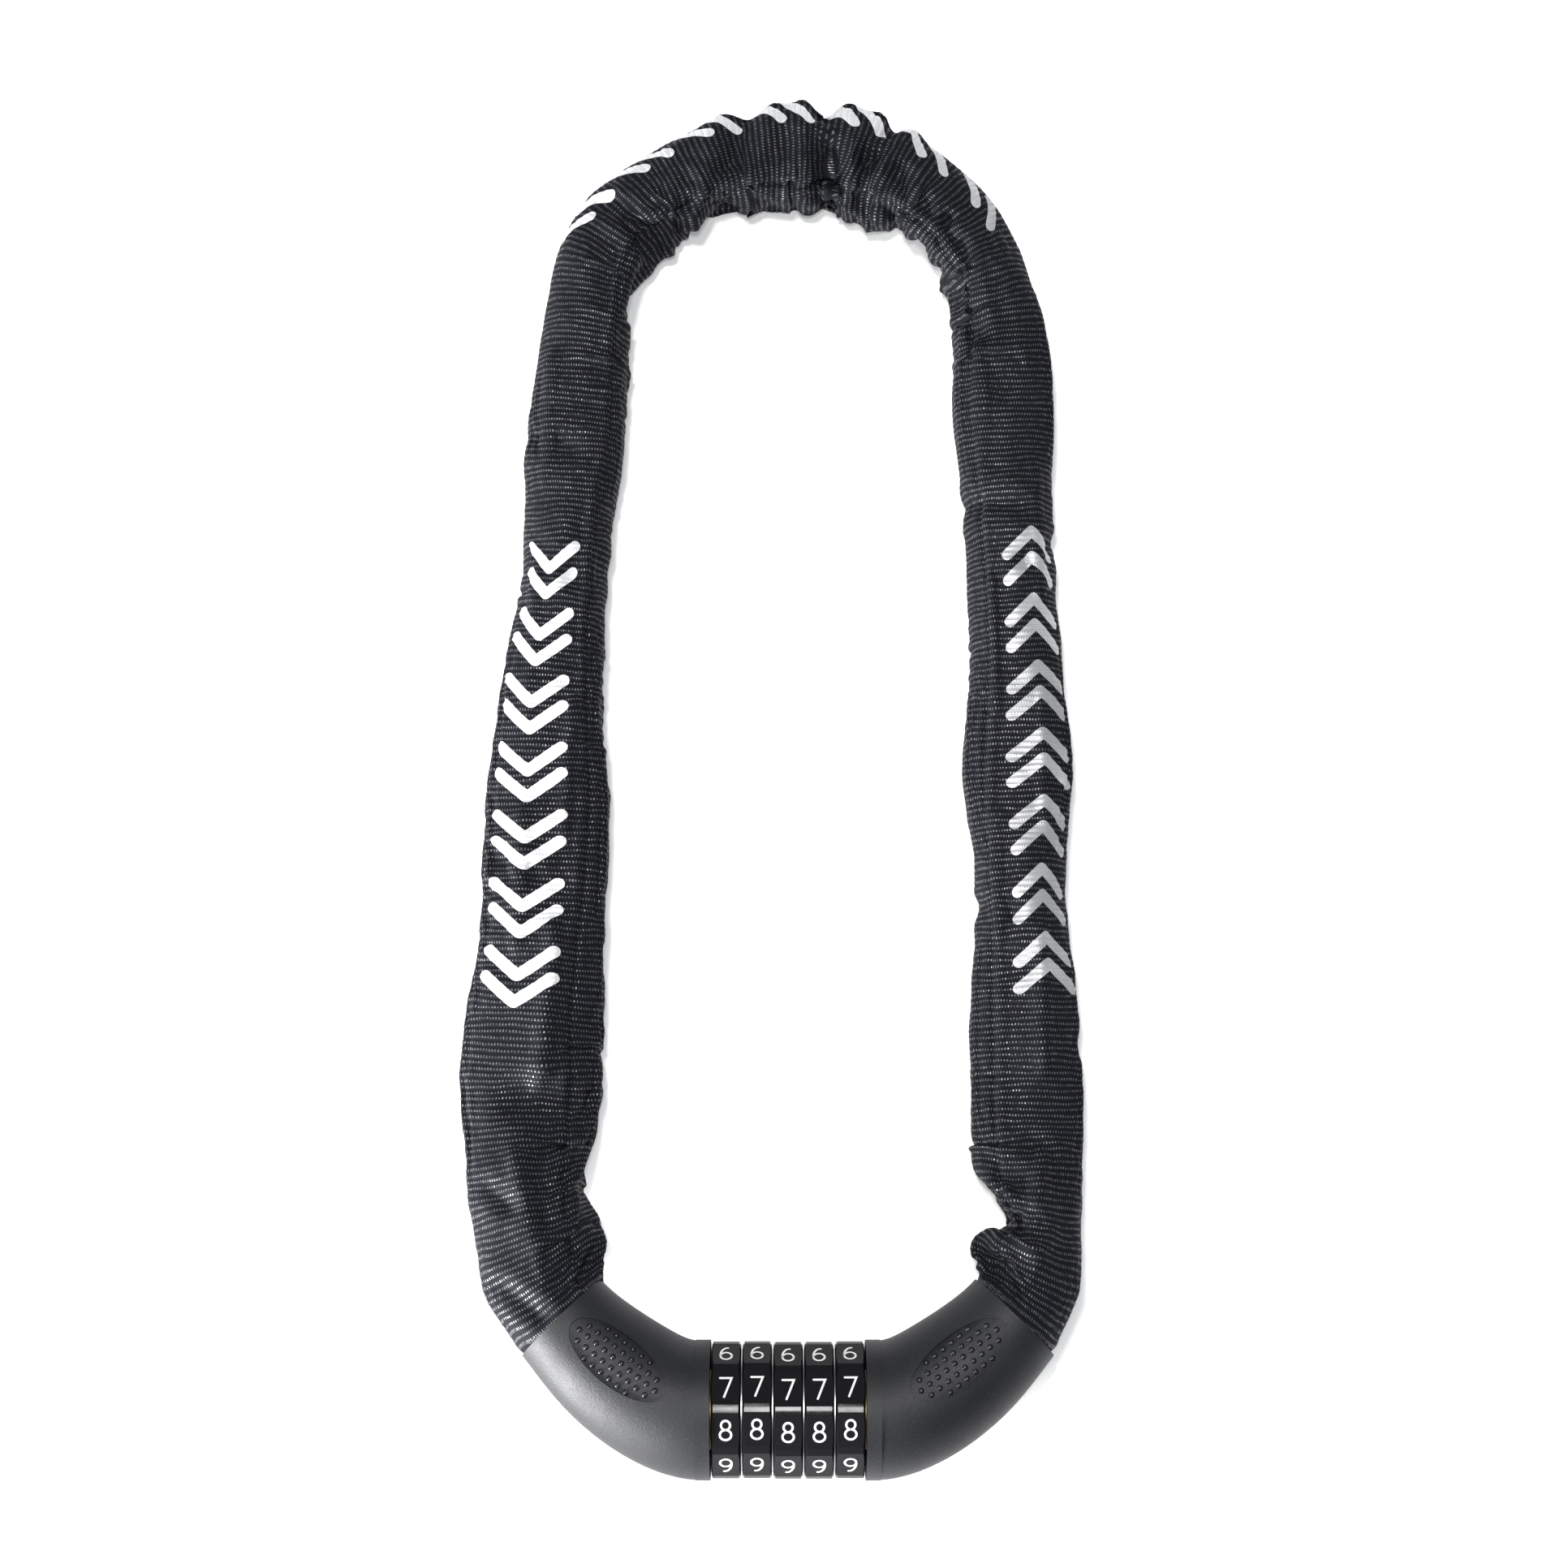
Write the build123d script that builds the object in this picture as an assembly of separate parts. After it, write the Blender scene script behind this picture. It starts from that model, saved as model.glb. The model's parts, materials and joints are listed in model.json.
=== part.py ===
"""Five-dial combination chain lock, closed and lying on its side on a flat surface.

Frame: millimetres, +Z up. The origin is the middle of the loop's footprint, on the resting plane.
The lock body's barrel runs along +X at the -Y end of the loop. The lock half is on its -X side and
the plug half, which pulls out along +X, is on its +X side. The chain runs from one half to the other
round the +Y end, inside a woven sleeve.
"""

import os
from math import atan2, degrees

from build123d import *

# ---------------------------------------------------------------- driving dimensions
DIAL_COUNT = 5
DIAL_PITCH = 6.2
DIAL_WIDTH = 5.9
DIGITS = 10
FACET_APOTHEM = 13.5  # barrel axis to the flat that carries a digit
LAND_RADIUS = 13.95  # round land left between two flats
AXIS_HEIGHT = 14.0  # barrel axis above the resting plane
LOCK_CENTRE = Vector(2.666, -134.063, AXIS_HEIGHT)  # middle of the dial stack
DIAL_LEAN = -1.9  # turn about +X that brings a land nearly to the top, degrees
DIAL_PLAY = (-0.3, -1.3, 1.5, 1.2, -0.9)  # how far each dial rests from its exact detent, degrees

BORE_RADIUS = 4.4  # core tube
CORE_RADIUS = 6.3
SLOT_WIDTH = 3.0
RESET_TRAVEL = 2.2  # how far the core is pushed in to change the code
RUNNING_GAP = 0.1

RING_WIDTH = 3.0  # code ring
RING_RADIUS = 8.65
RING_TOOTH_RADIUS = 9.45
RING_TOOTH_WIDTH = 1.6
GATE_WIDTH = 3.3
GATE_RADIUS = 8.0

PIN_RADIUS = 4.2  # locking pin
PIN_TOOTH_RADIUS = 7.6
PIN_TOOTH_WIDTH = 2.4
PIN_TOOTH_LENGTH = 2.2

STACK_GAP = 0.3  # between the dial stack and either housing
END_WALL = 1.6
COLLAR_WIDTH = 3.0
COLLAR_RADIUS = 13.98
MOUTH = Vector(-46.0, 18.4)  # centre of the lock half's mouth, in plan
MOUTH_HEADING = Vector(-0.697, 0.717)
# Along the housing: share of the path, radius outside, radius inside.
HOUSING_SECTIONS = (
    (0.0, 13.75, 12.1),
    (0.12, 13.75, 12.1),
    (0.4, 13.1, 11.1),
    (0.7, 12.2, 10.3),
    (1.0, 11.0, 9.85),
)

CHAIN_LINKS = 24
LINKS_PER_LENGTH = 3  # chain links that one length of sleeve covers
END_PITCH = 17.0  # the two end links are shorter than the rest
WIRE_RADIUS = 2.0
LINK_BEND_RADIUS = 6.0  # wire centre, round the end of a link
LINK_SLACK = 0.6  # clearance where one link hangs in the next
CHAIN_HEIGHT = 8.4  # chain centre above the resting plane, away from the lock
ANCHOR_RADIUS = 2.4

SLEEVE_WALL = 1.1
SLEEVE_HALF_HEIGHT = 8.8  # where it rests; it is rounder and taller near the lock
SLEEVE_MOUTH_HALF_HEIGHT = 10.3
SLEEVE_GAP = 2.4  # between two lengths of sleeve
TAIL_INSIDE = 6.5  # how far the sleeve's round end reaches into a mouth, and out of it
TAIL_OUTSIDE = 3.0
TAIL_RADIUS = 9.5

# The sleeve's centre line in plan, from the lock half's anchor to the plug half's, with half its width.
# Each point is (x, y, half width), relative to LOCK_CENTRE.
LOOP = (
    (-37.3, 9.44, 9.4),
    (-46.0, 18.4, 9.4),
    (-52.2, 29.0, 12.2),
    (-54.4, 48.0, 12.4),
    (-53.4, 72.0, 14.6),
    (-51.8, 96.0, 13.4),
    (-50.6, 138.0, 12.2),
    (-46.9, 190.0, 10.6),
    (-43.0, 234.0, 10.4),
    (-33.0, 255.0, 11.2),
    (-13.0, 267.8, 11.8),
    (10.0, 268.6, 12.8),
    (29.5, 260.4, 11.4),
    (42.0, 243.0, 10.8),
    (46.6, 214.0, 11.4),
    (48.2, 165.0, 10.6),
    (48.8, 120.0, 11.2),
    (49.6, 70.0, 11.6),
    (51.4, 46.0, 10.8),
    (51.2, 30.0, 11.0),
    (46.0, 18.4, 9.4),
    (37.3, 9.44, 9.4),
)
LOOP_HEIGHTS = (14.0, 14.0, 12.6, 10.6, 9.0)  # first and last points of LOOP; the rest are CHAIN_HEIGHT


# ---------------------------------------------------------------- small helpers
def along_x(x0, x1, radius):
    """A solid rod on the barrel axis from x0 to x1."""
    return Pos((x0 + x1) / 2, 0, 0) * Rot(0, 90, 0) * Cylinder(radius, x1 - x0)


def tube_x(x0, x1, outer, inner):
    """A tube on the barrel axis from x0 to x1."""
    return along_x(x0, x1, outer) - along_x(x0 - 1, x1 + 1, inner)


def extrude_x(sketch, x0, x1):
    """A sketch drawn in the YZ plane, extruded from x0 to x1."""
    return extrude(Plane.YZ.offset(x0) * sketch, x1 - x0)


def downward_bar(x0, x1, width, reach):
    """A bar from the barrel axis down to reach, where the slot and the gates are."""
    return Pos((x0 + x1) / 2, 0, -reach / 2) * Box(x1 - x0, width, reach)


def dial_x(i):
    """Centre of dial i along the barrel, from the middle of the stack."""
    return (i - (DIAL_COUNT - 1) / 2) * DIAL_PITCH


def dial_angle(i):
    return DIAL_LEAN + DIAL_PLAY[i]


def save(name, shape):
    export_step(shape, f"parts/{name}.step")


def at_lock(shape):
    return Pos(LOCK_CENTRE) * shape


STACK_END = dial_x(DIAL_COUNT - 1) + DIAL_WIDTH / 2 + STACK_GAP  # where each housing starts


# ---------------------------------------------------------------- dials and core
def dial(i):
    """A ten-sided dial whose flats carry the digits, with internal grooves for the code ring's teeth."""
    x = dial_x(i)
    half = DIAL_WIDTH / 2
    edge_width = 0.55
    edge_depth = 0.95
    outline = RegularPolygon(FACET_APOTHEM, DIGITS, major_radius=False) & Circle(LAND_RADIUS)
    body = extrude_x(Rot(0, 0, 180 / DIGITS) * outline, -half, half)
    envelope = Polyline(
        (-half, 0),
        (-half, LAND_RADIUS - edge_depth),
        (-half + edge_width, LAND_RADIUS + 0.3),
        (half - edge_width, LAND_RADIUS + 0.3),
        (half, LAND_RADIUS - edge_depth),
        (half, 0),
        close=True,
    )
    body &= revolve(make_face(envelope), Axis.X, 360)
    relief = RING_TOOTH_RADIUS + 0.25
    body -= along_x(-half - 1, -0.05, relief)
    body -= along_x(RING_WIDTH / 2 + 0.15, half + 1, relief)
    grooves = Circle(RING_RADIUS + RUNNING_GAP)
    for k in range(DIGITS):
        slot = Pos(RING_RADIUS, 0) * Rectangle(2 * (relief - RING_RADIUS), RING_TOOTH_WIDTH + 0.24)
        grooves += Rot(0, 0, 90 + 360 / DIGITS * k) * slot
    body -= extrude_x(grooves, -half, half)
    return Pos(x, 0, 0) * Rot(dial_angle(i), 0, 0) * body


def code_ring(i):
    """A notched ring that turns with its dial; its gate lets one tooth of the pin past."""
    half = RING_WIDTH / 2
    body = tube_x(-half, half, RING_RADIUS, CORE_RADIUS + RUNNING_GAP)
    teeth = Circle(RING_RADIUS)
    for k in range(DIGITS):
        tooth = Pos((RING_RADIUS + RING_TOOTH_RADIUS) / 2 - 0.4, 0) * Rectangle(
            RING_TOOTH_RADIUS - RING_RADIUS + 0.8, RING_TOOTH_WIDTH
        )
        teeth += Rot(0, 0, 90 + 360 / DIGITS * k) * tooth
    teeth -= Circle(CORE_RADIUS + RUNNING_GAP)
    body += extrude_x(teeth, 0.1, half)
    body = Rot(dial_angle(i), 0, 0) * body
    body -= Rot(DIAL_PLAY[i], 0, 0) * downward_bar(-half - 1, half + 1, GATE_WIDTH, GATE_RADIUS)
    return Pos(dial_x(i), 0, 0) * body


def dial_washers():
    """Thin steel rings that keep a turned dial from dragging its neighbours."""
    thickness = DIAL_PITCH - DIAL_WIDTH - 0.1
    washers = []
    for i in range(DIAL_COUNT - 1):
        x = dial_x(i) + DIAL_PITCH / 2
        washers.append(tube_x(x - thickness / 2, x + thickness / 2, 12.2, RING_TOOTH_RADIUS + 0.5))
    return Compound(washers)


FLANGE_X = -18.2  # outer face of the core's flange
CORE_MOUTH_X = 18.2
CORE_TAIL_X = -25.0
SPRING_SEAT_X = -22.8


def core_tube():
    """The slotted tube that the code rings turn on and the locking pin slides in."""
    body = along_x(CORE_TAIL_X, CORE_MOUTH_X, CORE_RADIUS)
    body += along_x(FLANGE_X, FLANGE_X + 1.0, 8.2)
    body -= along_x(FLANGE_X + 0.4, CORE_MOUTH_X + 1, BORE_RADIUS)
    body -= downward_bar(FLANGE_X + 1.0, CORE_MOUTH_X + 1, SLOT_WIDTH, 9.0)
    clip_groove = tube_x(16.5, 17.4, CORE_RADIUS + 1, CORE_RADIUS - 0.6)
    body -= clip_groove
    spring_flat = Pos(0, 0, CORE_RADIUS) * Box(29.2, 3.4, 1.6)
    return body - spring_flat


def core_spacers():
    """C-shaped collars that hold the code rings apart and leave the pin's teeth a place to sit."""
    joined = []
    first = dial_x(0) - RING_WIDTH / 2 - RUNNING_GAP
    spans = [(FLANGE_X + 1.1, first)]
    for i in range(DIAL_COUNT - 1):
        spans.append((dial_x(i) + RING_WIDTH / 2 + 0.1, dial_x(i + 1) - RING_WIDTH / 2 - 0.1))
    spans.append((dial_x(DIAL_COUNT - 1) + RING_WIDTH / 2 + 0.1, 16.4))
    for x0, x1 in spans:
        collar = tube_x(x0, x1, 7.9, CORE_RADIUS + 0.05)
        joined.append(collar - downward_bar(x0 - 1, x1 + 1, SLOT_WIDTH + 0.2, 10.0))
    return Compound(joined)


def core_clip():
    """The snap ring that keeps the rings and spacers on the core."""
    ring = tube_x(16.6, 17.3, 7.7, CORE_RADIUS - 0.5)
    return ring - downward_bar(16, 18, 5.0, 10.0)


def detent_spring():
    """A leaf strip with one arched finger under each code ring, in the flat along the core."""
    strip = Pos(0, 0, CORE_RADIUS - 0.65) * Box(28.8, 3.0, 0.2)
    for i in range(DIAL_COUNT):
        finger = Pos(dial_x(i), 0, CORE_RADIUS - 0.55) * Rot(90, 0, 0) * Cylinder(0.75, 2.4)
        keep = Pos(dial_x(i), 0, CORE_RADIUS) * Box(3, 4, 2 * 0.55)
        strip += finger & keep
    ceiling = along_x(-20, 20, CORE_RADIUS)
    return strip & ceiling


def return_spring():
    """The coil that pushes the core back after a code change."""
    wire = 0.35
    turns = 3
    seat_gap = 0.1
    height = FLANGE_X - SPRING_SEAT_X - 2 * (wire + seat_gap)
    path = Helix(height / turns, height, 7.3)
    start = Plane(path @ 0, z_dir=path % 0)
    coil = sweep(start * Circle(wire), path=path, is_frenet=True)
    return Pos(SPRING_SEAT_X + wire + seat_gap, 0, 0) * Rot(0, 90, 0) * coil


PIN_END_X = -29.0  # inner end of the pin, in the lock half's mirror image
PIN_HEAD_RADIUS = 6.4
PIN_HEAD_LENGTH = 1.6


def locking_pin():
    """The plug's toothed steel pin. Each tooth rests just past its code ring."""
    tip_x = dial_x(0) - DIAL_PITCH / 2 - PIN_TOOTH_LENGTH / 2 - 0.6
    nose_length = 0.6
    body = along_x(tip_x + nose_length, -PIN_END_X - 0.1, PIN_RADIUS)
    nose = Cone(PIN_RADIUS, PIN_RADIUS - nose_length, nose_length)
    body += Pos(tip_x + nose_length / 2, 0, 0) * Rot(0, -90, 0) * nose
    body += along_x(-SPRING_SEAT_X, -SPRING_SEAT_X + PIN_HEAD_LENGTH, PIN_HEAD_RADIUS)
    for i in range(DIAL_COUNT):
        x = dial_x(i) - DIAL_PITCH / 2
        tooth = downward_bar(
            x - PIN_TOOTH_LENGTH / 2, x + PIN_TOOTH_LENGTH / 2, PIN_TOOTH_WIDTH, PIN_TOOTH_RADIUS
        )
        body += tooth
    return body


# ---------------------------------------------------------------- housings
def housing_path(beyond=0.0):
    """Centre line of the lock half's housing, from the dial stack to the chain mouth or beyond it."""
    end = MOUTH + MOUTH_HEADING * beyond
    return Spline(
        (-STACK_END, 0),
        (-20.5, 0.25),
        (-30.0, 4.4),
        (end.X, end.Y),
        tangents=[(-1, 0), (MOUTH_HEADING.X, MOUTH_HEADING.Y)],
    )


def swept_horn(column, ease=0.0, beyond=0.0):
    """A solid of round sections along the housing's centre line, ease smaller all round."""
    path = housing_path(beyond)
    sections = []
    for section in HOUSING_SECTIONS:
        share = section[0]
        plane = Plane(path @ share, x_dir=(0, 0, 1), z_dir=path % share)
        sections.append(plane * Circle(section[column] - ease))
    return loft(sections)


def mouth_rod(inside, outside, radius):
    """A rod square to the mouth, from a depth inside it to a distance outside it."""
    middle = (outside - inside) / 2
    plane = Plane(
        origin=(MOUTH.X + MOUTH_HEADING.X * middle, MOUTH.Y + MOUTH_HEADING.Y * middle, 0),
        x_dir=(0, 0, 1),
        z_dir=(MOUTH_HEADING.X, MOUTH_HEADING.Y, 0),
    )
    return plane * Cylinder(radius, inside + outside)


def beyond_x(x):
    """Everything on the far side of a plane across the barrel, away from the dials."""
    return Pos(x - 100, 0, 0) * Box(200, 200, 60)


def housing_outer():
    """The outside of one housing: full at the dials, tapering round the bend to the mouth."""
    collar = along_x(-STACK_END - COLLAR_WIDTH, -STACK_END, COLLAR_RADIUS)
    return swept_horn(1) + collar


def housing_inner():
    """The cavity of one housing, open at the mouth."""
    return swept_horn(2, beyond=1.0) & beyond_x(-STACK_END - END_WALL)


GRIP_SHARE = 0.6  # where the grip oval sits along the housing
GRIP_TILT = 11.0  # how far it leans towards the inside of the loop, degrees
GRIP_LENGTH = 23.5
GRIP_WIDTH = 10.4
GRIP_DEPTH = 0.55
DOT_PITCH = 2.15
DOT_RADIUS = 0.42
DOT_HEIGHT = 0.33


def grip_place():
    """Where the grip oval's middle is: X along the housing and Z out of its surface."""
    path = housing_path()
    centre = path @ GRIP_SHARE
    heading = degrees(atan2((path % GRIP_SHARE).Y, (path % GRIP_SHARE).X))
    return Pos(centre.X, centre.Y, 0) * Rot(0, 0, heading) * Rot(GRIP_TILT, 0, 0)


def grip_cutter():
    """An oval pocket on the top of a housing, equally shallow all over."""
    place = grip_place()
    block = extrude(place * Ellipse(GRIP_LENGTH / 2, GRIP_WIDTH / 2), 20)
    return block - swept_horn(1, GRIP_DEPTH)


def grip_dimples():
    """Staggered raised dots on the floor of a grip oval."""
    place = grip_place()
    skin = swept_horn(1, GRIP_DEPTH - DOT_HEIGHT) - swept_horn(1, GRIP_DEPTH + 0.3)
    rows = 5
    columns = 12
    dots = []
    for row in range(-(rows // 2), rows // 2 + 1):
        across = row * DOT_PITCH * 0.87
        for k in range(columns):
            along = (k - (columns - 1) / 2 + 0.5 * (row % 2)) * DOT_PITCH
            inside = (along / (GRIP_LENGTH / 2 - 1)) ** 2 + (across / (GRIP_WIDTH / 2 - 0.6)) ** 2
            if inside > 1:
                continue
            rod = place * Pos(along, across, 10) * Cylinder(DOT_RADIUS, 20)
            dots.append(rod & skin)
    return dots


def housing_upper():
    """The upper moulded half of the lock-side housing."""
    body = housing_outer() - housing_inner()
    body -= along_x(-STACK_END - END_WALL - 1, -STACK_END + 1, 9.9)
    half_seam = 0.03
    body &= Pos(-35, 10, 20 + half_seam) * Box(90, 90, 40)
    body -= grip_cutter()
    return body + grip_dimples()


def carrier(is_plug):
    """The cast metal insert inside a housing. It holds the core or the pin, and the chain's end pin."""
    body = swept_horn(2, 0.12) & beyond_x(SPRING_SEAT_X)
    body -= mouth_rod(TAIL_INSIDE + 0.6, 5.0, 20)
    anchor = anchor_point()
    heading = degrees(atan2(MOUTH_HEADING.Y, MOUTH_HEADING.X))
    behind = ANCHOR_REACH + WIRE_RADIUS + 0.6
    fork = Rot(0, 0, heading) * Pos(10 - behind / 2, 0, 0) * Box(20 + behind, 40, 2 * WIRE_RADIUS + 1.6)
    body -= Pos(anchor.X, anchor.Y, 0) * fork
    body -= Pos(anchor.X, anchor.Y, 0) * Cylinder(ANCHOR_RADIUS + 0.02, 40)
    if is_plug:
        body -= along_x(PIN_END_X, -20, PIN_RADIUS + 0.02)
        body -= along_x(SPRING_SEAT_X - PIN_HEAD_LENGTH - 0.05, -20, PIN_HEAD_RADIUS + 0.05)
    else:
        body -= along_x(CORE_TAIL_X - RESET_TRAVEL - 1.0, -20, CORE_RADIUS + RUNNING_GAP)
    return body


def anchor_point():
    """Where the chain's end link is pinned, relative to the middle of the dial stack."""
    return Vector(LOOP[0][0], LOOP[0][1], 0)


def anchor_pin():
    """The rivet through the carrier and the chain's end link."""
    anchor = anchor_point()
    return Pos(anchor.X, anchor.Y, 0) * Cylinder(ANCHOR_RADIUS, 16.0)


# ---------------------------------------------------------------- chain and sleeve
def loop_points():
    """LOOP in the row frame, as 3-D points."""
    last = len(LOOP) - 1
    points = []
    for k, (x, y, _) in enumerate(LOOP):
        end = min(k, last - k)
        height = LOOP_HEIGHTS[end] if end < len(LOOP_HEIGHTS) else CHAIN_HEIGHT
        points.append(Vector(LOCK_CENTRE.X + x, LOCK_CENTRE.Y + y, height))
    return points


def next_joint(path, start_share, pitch):
    """Share of the path at which the straight distance from start_share reaches pitch."""
    start = path @ start_share
    low = start_share
    high = min(1.2, start_share + 2 * pitch / path.length)
    for _ in range(40):
        middle = (low + high) / 2
        point = path @ min(middle, 1.0) + (path % 1.0) * max(0.0, middle - 1.0) * path.length
        if (point - start).length < pitch:
            low = middle
        else:
            high = middle
    return low


def walk(path, pitch):
    """Shares of the path at which the pivots lie, for a given pitch of the long links."""
    shares = [0.0]
    for k in range(CHAIN_LINKS):
        is_end = k in (0, CHAIN_LINKS - 1)
        shares.append(next_joint(path, shares[-1], END_PITCH if is_end else pitch))
    return shares


def chain_joints():
    """The pivots between links, both anchors included, and the shares of the path they lie at."""
    path = Spline(*loop_points())
    high = (path.length - 2 * END_PITCH) / (CHAIN_LINKS - 2)
    low = high * 0.97
    for _ in range(24):
        pitch = (low + high) / 2
        if walk(path, pitch)[-1] > 1.0:
            high = pitch
        else:
            low = pitch
    shares = walk(path, pitch)
    shares[-1] = 1.0
    return path, shares, [path @ share for share in shares]


def link_roll(k):
    """Turn of link k about its own length. Neighbours are a quarter turn apart, and settle to 45 degrees."""
    from_end = min(k, CHAIN_LINKS - 1 - k)
    side = 1 if k < CHAIN_LINKS / 2 else -1
    settled = min(1.0, max(0, from_end - 1) / 3)
    return 90 * (from_end % 2) + side * 45 * settled


LINK_REACH = WIRE_RADIUS + LINK_SLACK  # from a pivot to the wire's centre at the end of a link
ANCHOR_REACH = ANCHOR_RADIUS + LINK_SLACK + WIRE_RADIUS


def chain_link(start, end, roll, start_reach, end_reach):
    """A welded link between two pivots. The reaches are how far its end wires lie past them."""
    direction = (end - start).normalized()
    first = start - direction * start_reach
    last = end + direction * end_reach
    half = (last - first).length / 2 - LINK_BEND_RADIUS
    bend = LINK_BEND_RADIUS
    ends = []
    for side in (-1, 1):
        arc = ThreePointArc((side * half, bend), (side * (half + bend), 0), (side * half, -bend))
        ends.append(arc)
    top = Line((-half, bend), (half, bend))
    bottom = Line((-half, -bend), (half, -bend))
    wire = Wire([top, ends[1], bottom, ends[0]])
    section = Plane(origin=(0, bend, 0), z_dir=(1, 0, 0)) * Circle(WIRE_RADIUS)
    body = sweep(section, path=wire)
    middle = (first + last) / 2
    flat = Vector(direction.X, direction.Y, 0).normalized()
    side_dir = Vector(-flat.Y, flat.X, 0)
    place = Plane(origin=middle, x_dir=direction, z_dir=direction.cross(side_dir))
    return place * Rot(roll, 0, 0) * body


def half_width(share, shares_of_points):
    """Half the sleeve's width at a share of the path, read between LOOP's points."""
    for k in range(len(LOOP) - 1):
        a, b = shares_of_points[k], shares_of_points[k + 1]
        if share <= b:
            t = min(1.0, max(0.0, (share - a) / (b - a)))
            t = t * t * (3 - 2 * t)
            return LOOP[k][2] * (1 - t) + LOOP[k + 1][2] * t
    return LOOP[-1][2]


def sleeve_section(path, share, width, height, corner):
    """A rounded section square to the path, with its long side level."""
    tangent = path % share
    level = Vector(-tangent.Y, tangent.X, 0).normalized()
    plane = Plane(origin=path @ share, x_dir=level, z_dir=tangent)
    return plane * RectangleRounded(2 * width, 2 * height, corner)


def sleeve_length(path, first, last, widths):
    """One closed length of sleeve between two shares of the path, cut flat where it rests."""
    stations = 7
    outer = []
    inner = []
    overrun = (last - first) * 0.02
    for k in range(stations):
        share = first + (last - first) * k / (stations - 1)
        wide = widths(share)
        lift = (path @ share).Z - CHAIN_HEIGHT
        tall = min(SLEEVE_MOUTH_HALF_HEIGHT, SLEEVE_HALF_HEIGHT + 0.4 * lift)
        outer.append(sleeve_section(path, share, wide, tall, 6.6))
        spread = share + overrun * (k / (stations - 1) * 2 - 1)
        inner.append(
            sleeve_section(
                path,
                min(1.0, max(0.0, spread)),
                wide - SLEEVE_WALL,
                tall - SLEEVE_WALL - 0.3,
                5.6,
            )
        )
    body = loft(outer) - loft(inner)
    return body - Pos(0, 0, -50) * Box(600, 600, 100)


def sleeve_tail():
    """The round end of the sleeve, trapped inside the lock half's mouth."""
    tail = mouth_rod(TAIL_INSIDE, TAIL_OUTSIDE, TAIL_RADIUS)
    return tail - mouth_rod(TAIL_INSIDE + 1, TAIL_OUTSIDE + 1, TAIL_RADIUS - 0.5)


# ---------------------------------------------------------------- build
def write_lock():
    for i in range(DIAL_COUNT):
        save(f"dial_{i + 1}", at_lock(dial(i)))
        save(f"code_ring_{i + 1}", at_lock(code_ring(i)))
    save("dial_washers", at_lock(dial_washers()))
    save("core_tube", at_lock(core_tube()))
    save("core_spacers", at_lock(core_spacers()))
    save("core_clip", at_lock(core_clip()))
    save("detent_spring", at_lock(detent_spring()))
    save("return_spring", at_lock(return_spring()))
    save("locking_pin", at_lock(locking_pin()))
    upper = housing_upper()
    lower = mirror(upper, about=Plane.XY)
    for half, word in ((upper, "upper"), (lower, "lower")):
        save(f"lock_housing_{word}", at_lock(half))
        save(f"plug_housing_{word}", at_lock(mirror(half, about=Plane.YZ)))
    save("lock_carrier", at_lock(carrier(False)))
    save("plug_carrier", at_lock(mirror(carrier(True), about=Plane.YZ)))
    save("lock_anchor_pin", at_lock(anchor_pin()))
    save("plug_anchor_pin", at_lock(mirror(anchor_pin(), about=Plane.YZ)))


def write_chain():
    path, shares, joints = chain_joints()
    for k in range(CHAIN_LINKS):
        start_reach = ANCHOR_REACH if k == 0 else LINK_REACH
        end_reach = ANCHOR_REACH if k == CHAIN_LINKS - 1 else LINK_REACH
        link = chain_link(joints[k], joints[k + 1], link_roll(k), start_reach, end_reach)
        save(f"chain_link_{k + 1:02d}", link)
    point_shares = [path.param_at_point(point) for point in loop_points()]

    def widths(share):
        return half_width(share, point_shares)

    lengths = CHAIN_LINKS // LINKS_PER_LENGTH
    gap = SLEEVE_GAP / path.length
    clear_of_mouth = (TAIL_OUTSIDE + 3.6) / path.length
    for k in range(lengths):
        first = shares[k * LINKS_PER_LENGTH] + gap / 2
        last = shares[(k + 1) * LINKS_PER_LENGTH] - gap / 2
        if k == 0:
            first = point_shares[1] + clear_of_mouth
        if k == lengths - 1:
            last = point_shares[-2] - clear_of_mouth
        save(f"sleeve_{k + 1}", sleeve_length(path, first, last, widths))
    save("sleeve_tail_lock", at_lock(sleeve_tail()))
    save("sleeve_tail_plug", at_lock(mirror(sleeve_tail(), about=Plane.YZ)))


os.makedirs("parts", exist_ok=True)
write_lock()
write_chain()
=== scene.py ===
import json
import math

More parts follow.
